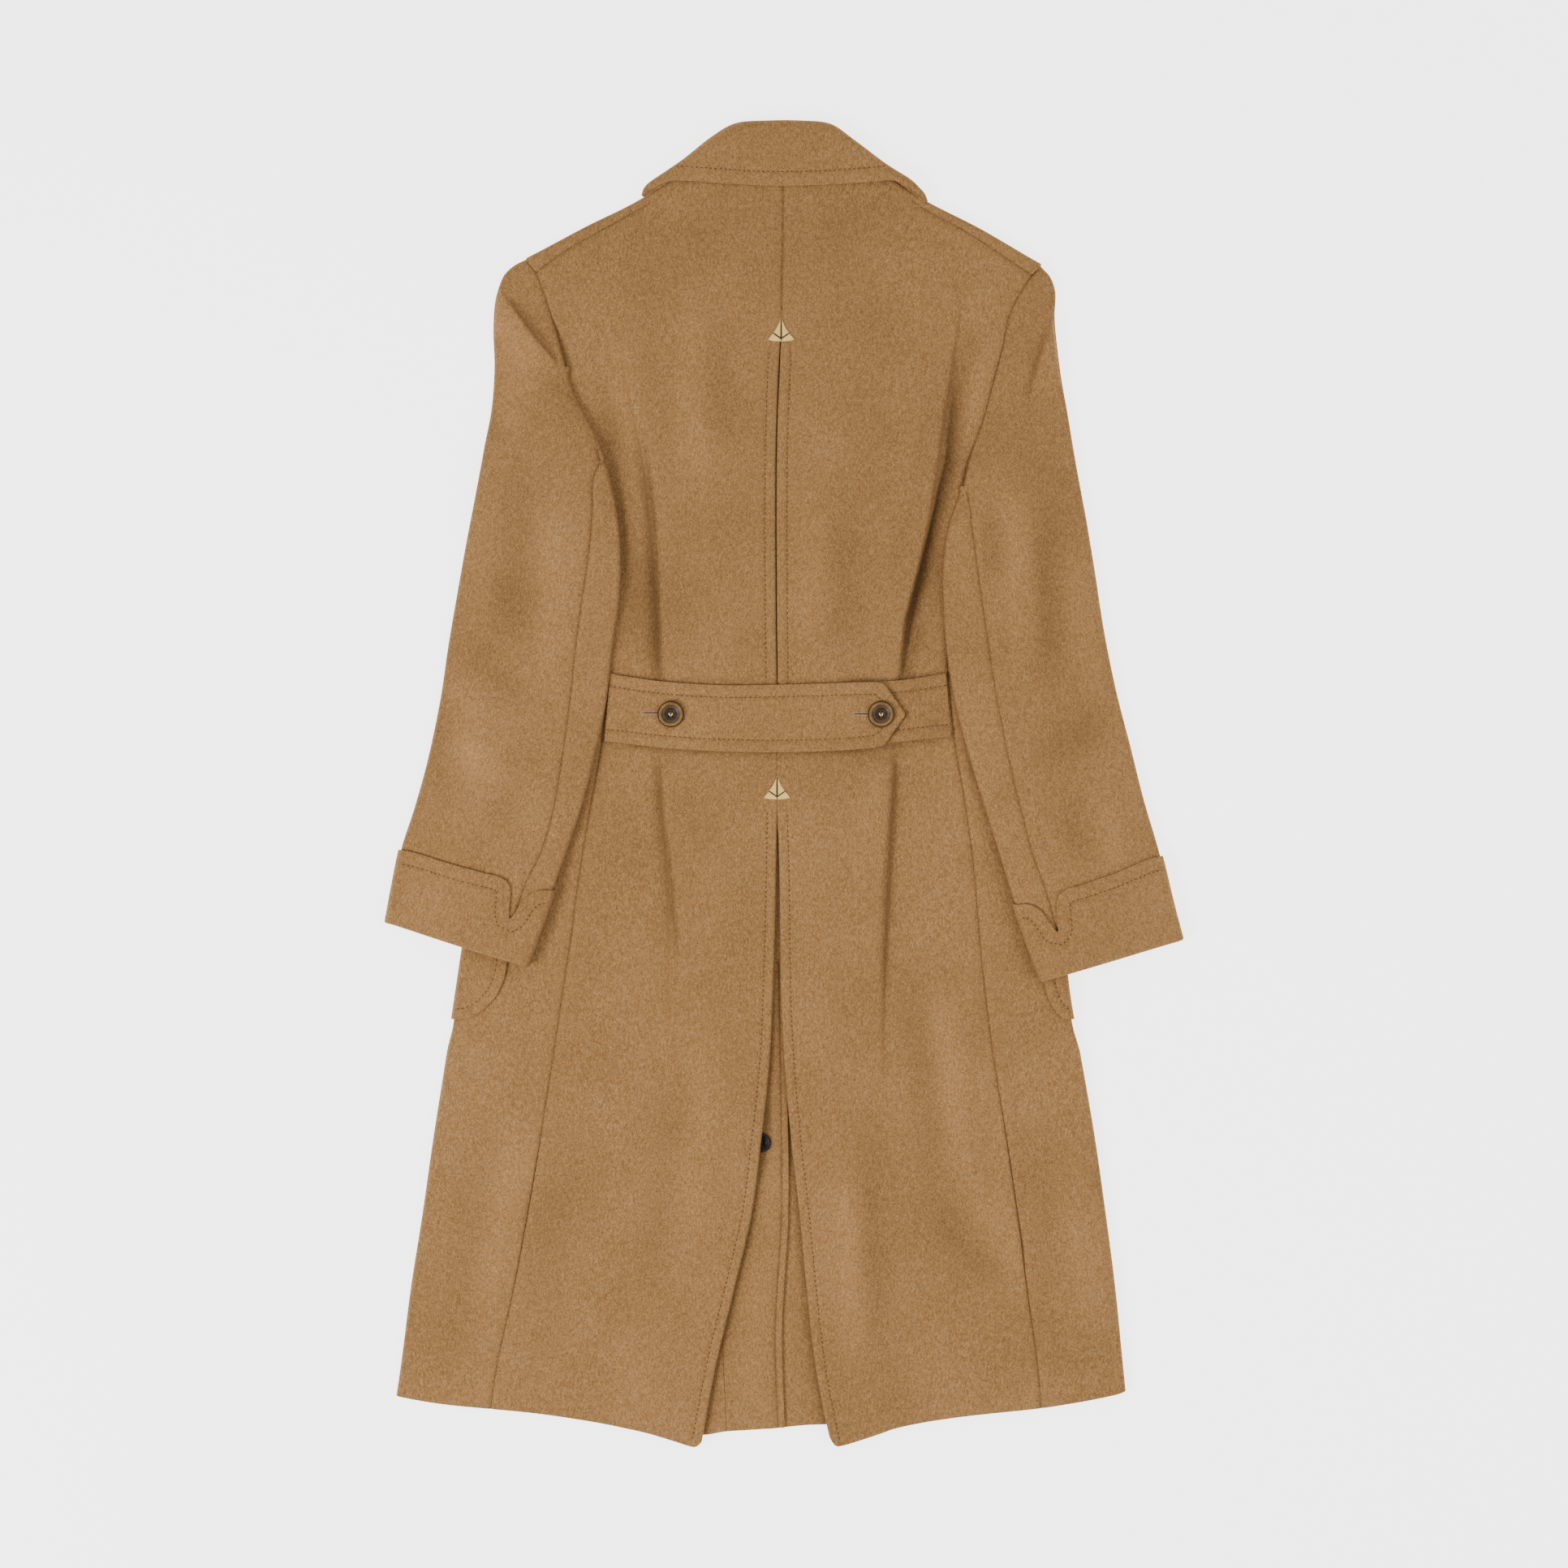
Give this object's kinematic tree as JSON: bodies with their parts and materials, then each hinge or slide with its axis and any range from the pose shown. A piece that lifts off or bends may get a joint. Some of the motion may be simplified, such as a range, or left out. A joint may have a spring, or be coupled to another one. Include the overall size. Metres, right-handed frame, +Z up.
{
  "type": "flat-lay coat",
  "caption": "Long double-breasted polo coat laid flat, back side up, with a half belt, inverted centre pleat, vent, turned-back cuffs, wrapped patch pockets and raised collar.",
  "frame": {"origin": "centre of the bounding box's underside, on the surface that the coat lies on", "axes": "+Z up from the surface, +Y from hem to collar, +X to the picture's right"},
  "size_m": [0.7444, 1.2359, 0.0275],
  "materials": {
    "camel_wool": "brushed matte nap",
    "horn": "polished horn",
    "dark_horn": "polished dark horn",
    "tack_silk": "satin stitched thread"
  },
  "bodies": {
    "root": {"back_left": "camel_wool", "back_right": "camel_wool", "front_left": "camel_wool", "front_right": "camel_wool", "pocket_left": "camel_wool", "pocket_right": "camel_wool", "topsleeve_left": "camel_wool", "topsleeve_right": "camel_wool", "undersleeve_left": "camel_wool", "undersleeve_right": "camel_wool", "cuff_left": "camel_wool", "cuff_right": "camel_wool", "pleat_underlay": "camel_wool", "vent_underlay_left": "camel_wool", "vent_underlay_right": "camel_wool", "belt_long": "camel_wool", "belt_short": "camel_wool", "collar": "camel_wool", "collar_stand": "camel_wool", "belt_button_left": "horn", "belt_button_right": "horn", "vent_button": "dark_horn", "tack_upper": "tack_silk", "tack_lower": "tack_silk"}
  },
  "joints": []
}
